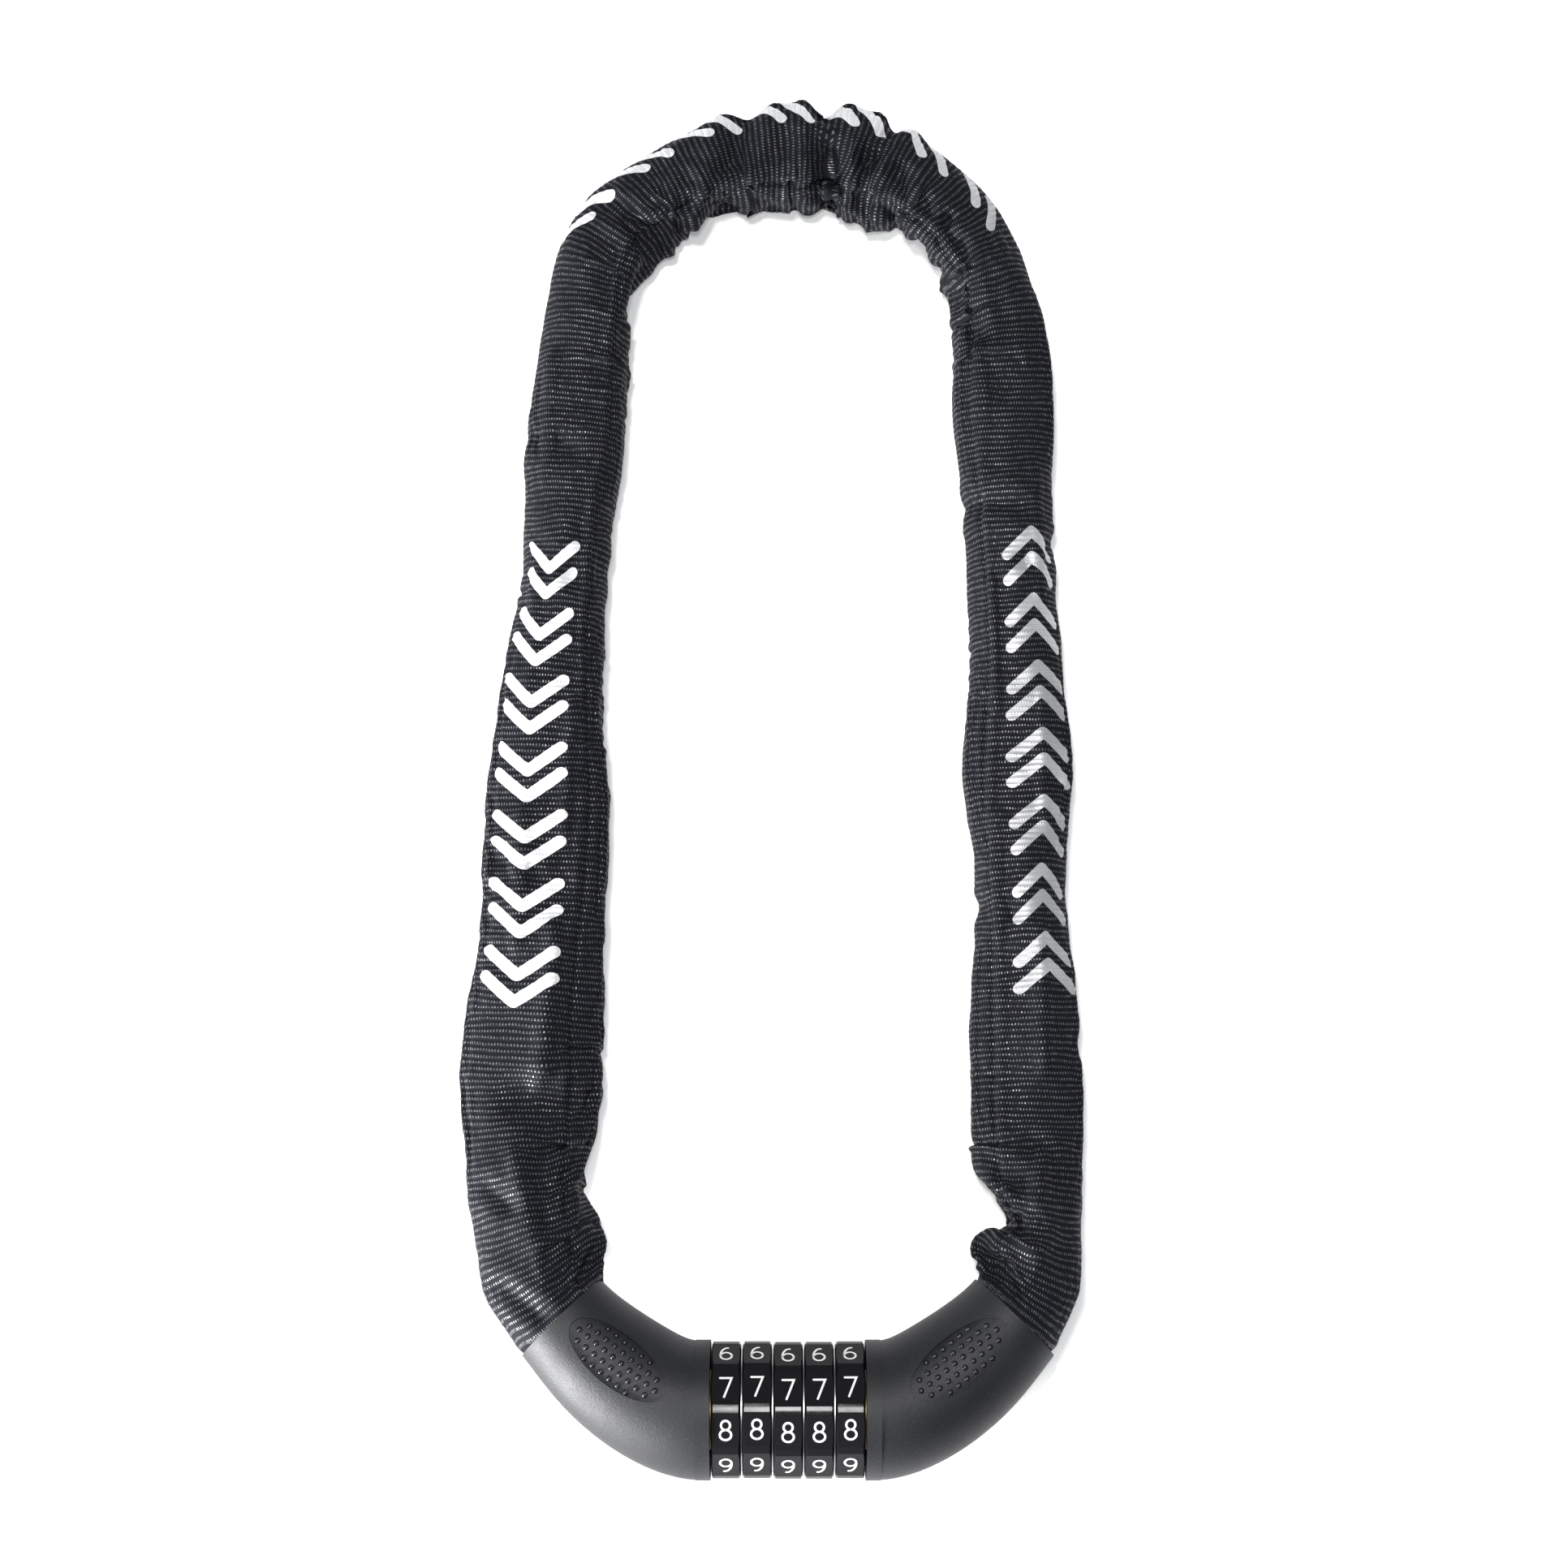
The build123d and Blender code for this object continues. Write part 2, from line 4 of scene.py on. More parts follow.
import bpy
import numpy as np
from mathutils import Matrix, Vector


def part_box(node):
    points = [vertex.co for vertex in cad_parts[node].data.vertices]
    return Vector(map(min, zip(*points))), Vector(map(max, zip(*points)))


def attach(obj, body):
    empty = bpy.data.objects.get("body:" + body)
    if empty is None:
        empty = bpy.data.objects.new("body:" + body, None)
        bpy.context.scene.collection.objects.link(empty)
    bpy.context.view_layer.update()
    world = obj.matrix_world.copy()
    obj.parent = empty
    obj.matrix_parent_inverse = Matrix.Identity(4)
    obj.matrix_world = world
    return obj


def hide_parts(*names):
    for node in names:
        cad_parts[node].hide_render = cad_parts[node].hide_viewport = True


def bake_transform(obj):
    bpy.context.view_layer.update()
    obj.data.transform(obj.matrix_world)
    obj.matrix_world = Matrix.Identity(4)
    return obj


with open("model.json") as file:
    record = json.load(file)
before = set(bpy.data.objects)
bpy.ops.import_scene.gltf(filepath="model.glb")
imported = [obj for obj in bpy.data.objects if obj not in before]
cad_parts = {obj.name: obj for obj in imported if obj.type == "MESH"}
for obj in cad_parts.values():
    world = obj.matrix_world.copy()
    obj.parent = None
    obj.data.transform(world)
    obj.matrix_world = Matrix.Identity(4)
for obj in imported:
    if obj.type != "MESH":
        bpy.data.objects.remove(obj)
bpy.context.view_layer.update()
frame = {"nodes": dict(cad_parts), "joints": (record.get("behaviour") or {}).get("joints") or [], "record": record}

MM = 0.001
FAR = 99.0  # mm, for "nowhere near a mark"
TINY = 1e-9
LOCK = np.array([2.666, -134.063, 14.0])  # middle of the dial stack, mm
DIALS = 5
DIAL_PITCH = 6.2
DIGITS = 10
FLAT_ANGLE = 360 / DIGITS
SHOWN = 7  # the digit on the flat just above the top of each dial
FACET_APOTHEM = 13.5
DIAL_LEAN = -1.9
DIAL_PLAY = (-0.3, -1.3, 1.5, 1.2, -0.9)
LINKS = 24
WIRE_RADIUS = 2.0
LEG_OFFSET = 6.0  # from a link's centre line to the middle of its wire

RIB_PITCH = 1.25
THREAD_PITCH = 0.56
RIB_HEIGHT = 0.12
ROWS = 432  # relaxed cloth: along the sleeve, and round it
COLUMNS = 64
SAMPLES_PER_RIB = 6
FINE_COLUMNS = 160
SLACK = 1.008  # sleeve length over the length of the line it follows
BEND_REACH = 8.0  # a length either side of a pivot, mm; it scales a direction in build_sleeve that nothing uses
CAD_SLEEVES = 8
PINNED_ROWS = 6  # at either end, held in the housings' mouths
STEPS = 260
SAG = 0.012  # how far the cloth drops in a step, mm
HOLD = 0.014  # share of the way back to where it was laid, in a step
STIFF_ALONG = 0.9
STIFF_ROUND = 0.8
STIFF_SKEW = 0.25
CLOTH_LOW = 0.3  # lowest the relaxed cloth may lie, and the fine surface, mm
FINE_LOW = 0.02
CLEAR_RELAXING = 0.75  # cloth to chain, mm
CLEAR_FOLDED = 0.9
CLEAR_FINE = 0.3
MOUTH_HEIGHT = 14.0  # of the sleeve's middle, at the mouths and once it has come down
LAID_HEIGHT = 8.2
MOUTH_HALF_HEIGHT = 9.3
LAID_HALF_HEIGHT = 8.7
FLATTENING = 0.42  # height lost for each mm that the sleeve is wider than usual
USUAL_HALF_WIDTH = 9.5
LANDING = (4, 58)  # the stretch over which the sleeve comes down, mm from its end
SQUARENESS = 0.28
# Stiffness against short wrinkles: rows apart, the least share of their flat distance, and force.
BENDING = ((2, 0.995, 0.7), (4, 0.985, 0.6), (8, 0.95, 0.4), (12, 0.84, 0.25))

# The sleeve's centre line in plan and half its width, from LOCK, as it lies on the surface.
SLEEVE_LINE = (
    (-41.5, 14.2, 9.3),
    (-46.2, 18.9, 10.9),
    (-49.7, 25.6, 12.9),
    (-52.3, 36.0, 12.3),
    (-53.8, 48.5, 12.2),
    (-53.7, 62.0, 14.0),
    (-53.2, 76.0, 14.3),
    (-52.1, 90.0, 13.2),
    (-51.2, 104.0, 12.7),
    (-50.8, 124.0, 12.9),
    (-50.6, 142.0, 11.4),
    (-49.4, 159.0, 10.2),
    (-47.8, 173.0, 9.0),
    (-47.2, 187.0, 9.5),
    (-46.0, 202.0, 10.4),
    (-44.9, 217.0, 10.0),
    (-43.4, 233.5, 9.2),
    (-41.3, 247.2, 9.5),
    (-31.6, 257.0, 9.9),
    (-19.5, 264.8, 9.9),
    (-6.5, 268.9, 11.3),
    (6.0, 269.0, 11.7),
    (17.0, 267.2, 12.0),
    (27.2, 262.3, 9.9),
    (37.2, 254.0, 9.2),
    (43.1, 241.4, 9.2),
    (46.3, 227.0, 10.4),
    (46.6, 212.0, 10.9),
    (47.2, 192.0, 9.6),
    (47.9, 172.0, 9.4),
    (48.6, 152.0, 10.0),
    (48.6, 132.0, 11.6),
    (48.9, 115.0, 9.7),
    (49.1, 101.0, 9.5),
    (49.3, 86.0, 11.0),
    (49.6, 66.0, 11.6),
    (49.8, 50.0, 11.0),
    (50.6, 37.5, 9.3),
    (49.2, 25.5, 11.7),
    (46.7, 18.6, 9.8),
    (41.5, 14.2, 9.3),
)
# The larger folds: from and to in plan, then depth and half the width of each.
FOLDS = (
    (-30.5, 248.5, -38.5, 255.5, 2.4, 2.0),
    (-41.0, 253.0, -36.0, 236.0, 0.9, 3.0),
    (-24.5, 251.0, -21.0, 260.0, 1.5, 1.7),
    (-14.5, 254.0, -8.5, 279.0, 3.0, 2.6),
    (9.5, 254.0, 8.3, 279.0, 3.8, 2.4),
    (15.2, 255.5, 17.5, 266.0, 1.9, 1.6),
    (17.5, 266.0, 23.8, 275.0, 2.9, 1.9),
    (23.0, 248.0, 24.4, 262.5, 1.8, 1.6),
    (29.0, 246.0, 29.5, 256.0, 1.3, 1.3),
    (33.5, 243.5, 34.5, 252.0, 1.6, 1.4),
    (36.5, 246.5, 41.0, 226.0, 1.3, 1.5),
    (34.0, 262.0, 46.0, 247.0, 0.9, 2.2),
    (-53.5, 204.0, -47.0, 201.0, 0.8, 2.4),
    (-40.0, 176.0, -46.0, 173.0, 0.9, 2.0),
    (-60.5, 113.0, -54.0, 109.0, 1.1, 2.0),
    (-54.5, 62.5, -44.0, 60.5, 1.2, 3.2),
    (-50.0, 57.0, -48.5, 38.0, 1.1, 2.6),
    (-62.0, 45.0, -57.0, 41.0, 0.9, 1.8),
    (-58.0, 24.5, -50.0, 19.0, 1.3, 1.8),
    (36.5, 190.0, 48.0, 188.5, 1.1, 2.2),
    (57.0, 182.0, 51.0, 176.5, 0.9, 1.9),
    (38.0, 104.0, 46.0, 101.0, 0.8, 2.0),
    (60.0, 74.0, 53.0, 70.0, 0.7, 2.2),
    (50.0, 53.0, 57.5, 44.5, 1.0, 1.9),
    (38.0, 39.5, 48.5, 37.0, 2.6, 2.3),
    (38.5, 27.5, 46.5, 29.5, 1.4, 1.5),
    (55.0, 44.0, 55.5, 28.0, 1.0, 2.0),
)
ROLL_SHARE = 0.4  # height of the roll beside a fold, over the fold's depth
ROLL_AWAY = 2.1  # and how far from the fold it stands, over the fold's half width
SEED_SHARE = 1.0  # of the folds, pressed in before the cloth settles and again after
FINAL_SHARE = 0.7
SEAM = 0.617  # where the seam runs round the sleeve, from the middle of its underside
SEAM_WANDER = 1.1
SEAM_ROLL = 0.4  # the turned-over edge beside the seam
SEAM_GROOVE = 0.55


# ---------------------------------------------------------------- numbers
def smoothstep(a, b, x):
    t = np.clip((x - a) / (b - a), 0, 1)
    return t * t * (3 - 2 * t)


def resample(grid, count, closed=False):
    """Catmull-Rom resampling along the first axis."""
    m = len(grid)
    t = np.linspace(0, m if closed else m - 1, count, endpoint=not closed)
    i = np.floor(t).astype(int)
    if not closed:
        i = np.minimum(i, m - 2)
    f = t - i
    weights = (
        -0.5 * f + f**2 - 0.5 * f**3,
        1 - 2.5 * f**2 + 1.5 * f**3,
        0.5 * f + 2 * f**2 - 1.5 * f**3,
        -0.5 * f**2 + 0.5 * f**3,
    )
    out = 0
    for k, w in enumerate(weights):
        index = i + k - 1
        index = index % m if closed else np.clip(index, 0, m - 1)
        out = out + w.reshape((-1,) + (1,) * (grid.ndim - 1)) * grid[index]
    return out


def resample_across(grid, count):
    """Catmull-Rom resampling round the tube, along the second axis."""
    return np.swapaxes(resample(np.swapaxes(grid, 0, 1), count, closed=True), 0, 1)


def noise(rows, columns, cells_u, cells_v, seed):
    """Smooth noise over the sleeve, about -1 to 1, with so many cells along it and round it."""
    rng = np.random.default_rng(seed)
    return resample_across(resample(rng.uniform(-1, 1, (cells_u, cells_v)), rows), columns)


# ---------------------------------------------------------------- the chain, as packed
def chain_joints():
    """The pivots between links, mm. The last and first are the anchors in the two housings."""
    swing = {j["name"]: np.array(j["pos_m"]) / MM for j in frame["joints"] if "swing" in j["name"]}
    joints = [None] * (LINKS + 1)
    half = LINKS // 2
    for k in range(half):
        joints[k] = swing[f"link_{k + 1:02d}_swing"]
        joints[LINKS - k] = swing[f"link_{LINKS - k:02d}_swing"]
    low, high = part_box(f"chain_link_{half:02d}")
    joints[half] = np.array(low + high) / MM - joints[half - 1]
    return np.array(joints)


def link_roll(k):
    from_end = min(k, LINKS - 1 - k)
    side = 1 if k < LINKS / 2 else -1
    return math.radians(90 * (from_end % 2) + side * 45 * min(1.0, max(0, from_end - 1) / 3))


def link_flats(joints):
    """The direction each link is thin in."""
    flats = []
    for k in range(LINKS):
        along = joints[k + 1] - joints[k]
        along /= np.linalg.norm(along)
        level = np.array([-along[1], along[0], 0.0])
        level /= np.linalg.norm(level)
        up = np.cross(along, level)
        flats.append(math.cos(link_roll(k)) * up - math.sin(link_roll(k)) * level)
    return np.array(flats)


# ---------------------------------------------------------------- the sleeve as laid
def laid_sleeve():
    """Where the sleeve lies before it settles, as (rows, columns, 3), and the line it follows."""
    dense = resample(np.array(SLEEVE_LINE), 4000)
    length = np.concatenate([[0], np.cumsum(np.linalg.norm(np.diff(dense[:, :2], axis=0), axis=1))])
    s = np.linspace(0, length[-1], ROWS)
    x, y, half_width = (np.interp(s, length, dense[:, c]) for c in range(3))
    from_end = np.minimum(s, length[-1] - s)
    fall = smoothstep(*LANDING, from_end)
    z = MOUTH_HEIGHT * (1 - fall) + LAID_HEIGHT * fall
    flat = LAID_HALF_HEIGHT - np.clip(half_width - USUAL_HALF_WIDTH, 0, 5) * FLATTENING
    half_height = MOUTH_HALF_HEIGHT * (1 - fall) + flat * fall
    line = np.stack([x + LOCK[0], y + LOCK[1], z], axis=1)
    tangent = np.gradient(line, axis=0)
    tangent[:, 2] = 0
    tangent /= np.linalg.norm(tangent, axis=1)[:, None]
    outward = np.stack([-tangent[:, 1], tangent[:, 0], np.zeros(ROWS)], axis=1)
    angle = -math.pi / 2 + 2 * math.pi * np.arange(COLUMNS) / COLUMNS
    square = (1 - SQUARENESS * fall * smoothstep(9.0, 11.0, half_width))[:, None]
    cosine, sine = np.cos(angle)[None, :], np.sin(angle)[None, :]
    across = np.sign(cosine) * np.abs(cosine) ** square * half_width[:, None]
    lift = np.sign(sine) * np.abs(sine) ** square * half_height[:, None]
    grid = line[:, None, :] + outward[:, None, :] * across[..., None]
    grid[..., 2] += lift
    grid[..., 2] = np.maximum(grid[..., 2], 0.25)
    return grid, line


def pull(a, b, rest, stiffness, only_push=False):
    """How far to move b to bring each pair's distance to rest; a moves the other way."""
    d = b - a
    distance = np.sqrt((d * d).sum(-1, keepdims=True)) + TINY
    off = (distance - rest) / distance
    if only_push:
        off = np.minimum(off, 0)
    return d * (0.5 * stiffness * off)


def links_near(cloth, joints):
    """For each row of cloth, both pivots and the thin direction of each of the three nearest links."""
    flats = link_flats(joints)
    middles = (joints[:-1] + joints[1:]) / 2
    centre = cloth.mean(1)
    nearest = np.linalg.norm(centre[:, None, :2] - middles[None, :, :2], axis=2).argmin(1)
    links = []
    for offset in (-1, 0, 1):
        k = np.clip(nearest + offset, 0, LINKS - 1)
        links.append((joints[k][:, None, :], joints[k + 1][:, None, :], flats[k][:, None, :]))
    return links


def clear_links(x, links, clear):
    """Pushes the cloth out of the links, each taken as solid right across its opening."""
    for start, end, flat in links:
        along = end - start
        t = ((x - start) * along).sum(-1, keepdims=True) / (along * along).sum(-1, keepdims=True)
        d = x - (start + along * np.clip(t, 0, 1))
        above = (d * flat).sum(-1, keepdims=True) * flat
        level = d - above
        reach = np.sqrt((level * level).sum(-1, keepdims=True)) + TINY
        d = above + level * np.maximum(1 - LEG_OFFSET / reach, 0)
        distance = np.sqrt((d * d).sum(-1, keepdims=True)) + TINY
        x += d / distance * np.maximum(clear - distance, 0)


def relax(cloth, guide, joints, steps):
    """Settles the sleeve as cloth: longer than its path, over the links, and down on the surface."""
    rest_u = SLACK * np.linalg.norm(np.diff(guide.mean(1), axis=0), axis=1).mean()
    ring = np.roll(guide, -1, axis=1) - guide
    rest_v = (np.linalg.norm(ring, axis=2).sum(1) / COLUMNS)[:, None, None]
    diagonal = np.sqrt(rest_u**2 + rest_v**2)
    links = links_near(guide, joints)
    x = cloth
    for _ in range(steps):
        x[..., 2] -= SAG
        x += (guide - x) * HOLD
        for start in (0, 1):
            a, b = x[start:-1:2], x[start + 1 :: 2]
            c = pull(a, b, rest_u, STIFF_ALONG)
            a += c
            b -= c
        for start in (0, 1):
            a = x[:, start::2]
            b = np.roll(x, -1, axis=1)[:, start::2]
            c = pull(a, b, rest_v, STIFF_ROUND)
            x[:, start::2] += c
            second = (np.arange(start, COLUMNS, 2) + 1) % COLUMNS
            x[:, second] -= c
        for start in (0, 1):
            for turn in (-1, 1):
                a, b = x[start:-1:2], x[start + 1 :: 2]
                rest = diagonal[start:-1:2]
                c = pull(a, np.roll(b, turn, axis=1), rest, STIFF_SKEW)
                a += c
                b -= np.roll(c, -turn, axis=1)
        for span, least, stiffness in BENDING:
            for start in range(span):
                a = x[start : -span : 2 * span]
                b = x[start + span :: 2 * span]
                count = min(len(a), len(b))
                a, b = a[:count], b[:count]
                c = pull(a, b, rest_u * span * least, stiffness, only_push=True)
                a += c
                b -= c
        clear_links(x, links, WIRE_RADIUS + CLEAR_RELAXING)
        x[..., 2] = np.maximum(x[..., 2], CLOTH_LOW)
        x[:PINNED_ROWS] = guide[:PINNED_ROWS]
        x[-PINNED_ROWS:] = guide[-PINNED_ROWS:]
    return x


def segment_distance(px, py, ax, ay, bx, by):
    dx, dy = bx - ax, by - ay
    t = np.clip(((px - ax) * dx + (py - ay) * dy) / (dx * dx + dy * dy), 0, 1)
    return np.hypot(px - ax - t * dx, py - ay - t * dy)


def surface_normals(grid):
    du = np.gradient(grid, axis=0)
    dv = np.roll(grid, -1, axis=1) - np.roll(grid, 1, axis=1)
    n = np.cross(dv, du)
    return n / (np.linalg.norm(n, axis=2, keepdims=True) + 1e-12)


def folds(cloth, share):
    """How far the larger folds press the cloth in, with a soft roll of cloth beside each."""
    upper = smoothstep(1.0, 5.0, cloth[..., 2])
    wander = noise(ROWS, COLUMNS, 70, 10, 31)
    push = np.zeros(cloth.shape[:2])
    for ax, ay, bx, by, depth, width in FOLDS:
        px, py = cloth[..., 0] - LOCK[0], cloth[..., 1] - LOCK[1]
        d = segment_distance(px, py, ax, ay, bx, by) + 0.5 * wander
        roll = ROLL_SHARE * np.exp(-(((d - ROLL_AWAY * width) / width) ** 2))
        push += depth * (roll - np.exp(-((d / width) ** 2)))
    return surface_normals(cloth) * (share * push * upper)[..., None]


def settled_sleeve(joints):
    guide, line = laid_sleeve()
    rough = noise(ROWS, COLUMNS, 34, 6, 7) * 0.7 + noise(ROWS, COLUMNS, 110, 14, 8) * 0.15
    cloth = guide + (guide - line[:, None, :]) / 9.0 * rough[..., None]
    cloth += folds(cloth, SEED_SHARE)
    cloth = relax(cloth, guide, joints, STEPS)
    cloth += folds(cloth, FINAL_SHARE)
    links = links_near(cloth, joints)
    for _ in range(3):
        clear_links(cloth, links, WIRE_RADIUS + CLEAR_FOLDED)
    return cloth


# ---------------------------------------------------------------- the sleeve's fine surface
# Reflective marks: middle of each row in plan, and how far it sits outward of the sleeve's top.
MARK_ROWS = (
    (-51.0, 131.0, 3.2),
    (-1.0, 269.0, 11.5),
    (48.6, 134.0, 4.4),
)
MARKS = 7
MARK_PITCH = 14.6
MARK_STROKE = 1.2
MARK_HALF = 5.9
MARK_POINT = 2.6
MARK_PAIR = 5.6  # between the two chevrons of a mark


def mark_distance(u, v, centre_u, centre_v):
    """Signed distance, mm, from a row of double chevrons."""
    out = np.full(u.shape, FAR)
    for k in range(2 * MARKS):
        start = (k // 2 - (MARKS - 1) / 2) * MARK_PITCH + (k % 2 - 0.5) * MARK_PAIR
        pu = u - centre_u - start
        pv = np.abs(v - centre_v)
        arm = segment_distance(pu, pv, MARK_POINT, MARK_HALF, -MARK_POINT, 0)
        out = np.minimum(out, arm - MARK_STROKE)
    return out


def fine_sleeve(cloth, joints):
    """The settled sleeve with its ribs: positions, normals, weave coordinates and mark distance."""
    along = np.linalg.norm(np.diff(cloth.mean(1), axis=0), axis=1).sum() * SLACK
    ribs = int(along / RIB_PITCH)
    rows = ribs * SAMPLES_PER_RIB + 1
    base = resample_across(resample(cloth, rows), FINE_COLUMNS)
    normal = surface_normals(base)
    u = np.linspace(0, ribs * RIB_PITCH, rows)[:, None] + np.zeros((1, FINE_COLUMNS))
    perimeter = np.linalg.norm(np.roll(base, -1, axis=1) - base, axis=2).sum(1).mean()
    v = np.arange(FINE_COLUMNS)[None, :] / FINE_COLUMNS * perimeter + np.zeros((rows, 1))
    weave = u + 0.35 * noise(rows, FINE_COLUMNS, 120, 10, 21)
    weave = weave + 0.12 * noise(rows, FINE_COLUMNS, 420, 24, 22)
    rib = np.abs(np.cos(math.pi * weave / RIB_PITCH)) ** 0.8
    amount = RIB_HEIGHT * (0.85 + 0.3 * noise(rows, FINE_COLUMNS, 160, 14, 23))
    soft = 0.22 * noise(rows, FINE_COLUMNS, 110, 14, 24) + 0.10 * noise(rows, FINE_COLUMNS, 300, 26, 25)
    from_seam = v - SEAM * perimeter - SEAM_WANDER * noise(rows, FINE_COLUMNS, 24, 4, 26)
    seam = SEAM_ROLL * np.exp(-(((from_seam + 1.5) / 1.1) ** 2))
    seam = seam - SEAM_GROOVE * np.exp(-((from_seam / 0.55) ** 2))
    fine = base + normal * (amount * (rib - 0.5) + soft + seam)[..., None]
    clear_links(fine, links_near(fine, joints), WIRE_RADIUS + CLEAR_FINE)
    fine[..., 2] = np.maximum(fine[..., 2], FINE_LOW)
    middle = base.mean(1)
    marks = np.full(u.shape, FAR)
    for x, y, outward in MARK_ROWS:
        row = np.hypot(middle[:, 0] - LOCK[0] - x, middle[:, 1] - LOCK[1] - y).argmin()
        marks = np.minimum(marks, mark_distance(u, v, u[row, 0], perimeter / 2 - outward))
    return fine, surface_normals(fine), weave, v, marks, perimeter


def sleeve_piece(name, data, first, last, material):
    """One stretch of the fine surface as a mesh, with weave coordinates and the marks' distance."""
    fine, normal, weave, v, marks, perimeter = data
    rows = slice(first, last + 1)
    co = (fine[rows] * MM).reshape(-1, 3)
    n = last + 1 - first
    i, j = np.meshgrid(np.arange(n - 1), np.arange(FINE_COLUMNS), indexing="ij")
    j2 = (j + 1) % FINE_COLUMNS
    quads = np.stack([
        i * FINE_COLUMNS + j,
        i * FINE_COLUMNS + j2,
        (i + 1) * FINE_COLUMNS + j2,
        (i + 1) * FINE_COLUMNS + j,
    ], axis=-1).reshape(-1, 4)
    mesh = bpy.data.meshes.new(name)
    mesh.from_pydata(co.tolist(), [], quads.tolist())
    mesh.polygons.foreach_set("use_smooth", np.ones(len(quads), bool))
    layer = mesh.uv_layers.new(name="weave")
    wu = weave[rows].reshape(-1)[quads]
    wv = v[rows].reshape(-1)[quads]
    wrapped = (j == FINE_COLUMNS - 1).reshape(-1)
    wv[wrapped, 1] = perimeter
    wv[wrapped, 2] = perimeter
    layer.data.foreach_set("uv", np.stack([wu, wv], axis=-1).astype(np.float32).ravel())
    attribute = mesh.attributes.new("mark", "FLOAT", "POINT")
    attribute.data.foreach_set("value", marks[rows].astype(np.float32).ravel())
    mesh.materials.append(material)
    mesh.update()
    mesh.normals_split_custom_set_from_vertices(normal[rows].reshape(-1, 3).tolist())
    obj = bpy.data.objects.new(name, mesh)
    bpy.context.scene.collection.objects.link(obj)
    return obj


def build_sleeve(material):
    joints = chain_joints()
    data = fine_sleeve(settled_sleeve(joints), joints)
    centre = data[0].mean(1)
    rows = len(centre)

    def row_at(point):
        return int(np.linalg.norm(centre[:, :2] - point[None, :2], axis=1).argmin())

    middles = (joints[:-1] + joints[1:]) / 2
    half = LINKS // 2
    bodies = ["lock_body"] + [f"link_{k + 1:02d}" for k in range(LINKS)] + ["plug"]
    cuts = [0] + [row_at(middle) for middle in middles] + [rows - 1]
    cuts.insert(half + 1, row_at(joints[half]))
    pieces = []
    for k in range(len(cuts) - 1):
        piece = sleeve_piece(f"sleeve_fabric_{k + 1:02d}", data, cuts[k], cuts[k + 1], material)
        pieces.append(piece)
        if k in (half, half + 1):
            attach(piece, bodies[k])
            continue
        joint = k if k < half else k - 1
        if joint in (0, LINKS):
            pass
        else:
            direction = middles[joint] - middles[joint - 1]
            direction *= BEND_REACH / np.linalg.norm(direction)
        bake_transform(piece)
    for k in range(CAD_SLEEVES):
        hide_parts(f"sleeve_{k + 1}")
    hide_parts("sleeve_tail_lock")
    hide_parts("sleeve_tail_plug")
    return pieces


# ---------------------------------------------------------------- the grip pads' dots
GRIP_MIDDLE = (-35.47, 8.228)  # of the lock half's oval, in plan from LOCK; the plug half mirrors it
GRIP_HEADING = math.radians(140.884)
GRIP_TILT = math.radians(11.0)
GRIP_LENGTH = 23.5
GRIP_WIDTH = 10.4
GRIP_ROWS = 5
GRIP_COLUMNS = 12
DOT_PITCH = 2.15
ROW_SHARE = 0.87  # distance between rows over the distance between dots
DOT_LIFT = 0.33  # how far the dots stand up from the pad
DOT_RADIUS = 0.62
DOT_HEIGHT = 0.46
DOT_AROUND = 12
DOT_RINGS = 4
END_MARGIN = 1.0  # bare rim of the pad, at its ends and its sides
SIDE_MARGIN = 0.6


def grip_point(along, across, up, side):
    """A point over the pad, mm; side is -1 for the lock half and 1 for the plug half."""
    y = across * math.cos(GRIP_TILT) - up * math.sin(GRIP_TILT)
    z = across * math.sin(GRIP_TILT) + up * math.cos(GRIP_TILT)
    x = along * math.cos(GRIP_HEADING) - y * math.sin(GRIP_HEADING) + GRIP_MIDDLE[0]
    y = along * math.sin(GRIP_HEADING) + y * math.cos(GRIP_HEADING) + GRIP_MIDDLE[1]
    return LOCK + np.array([-side * x, y, z])


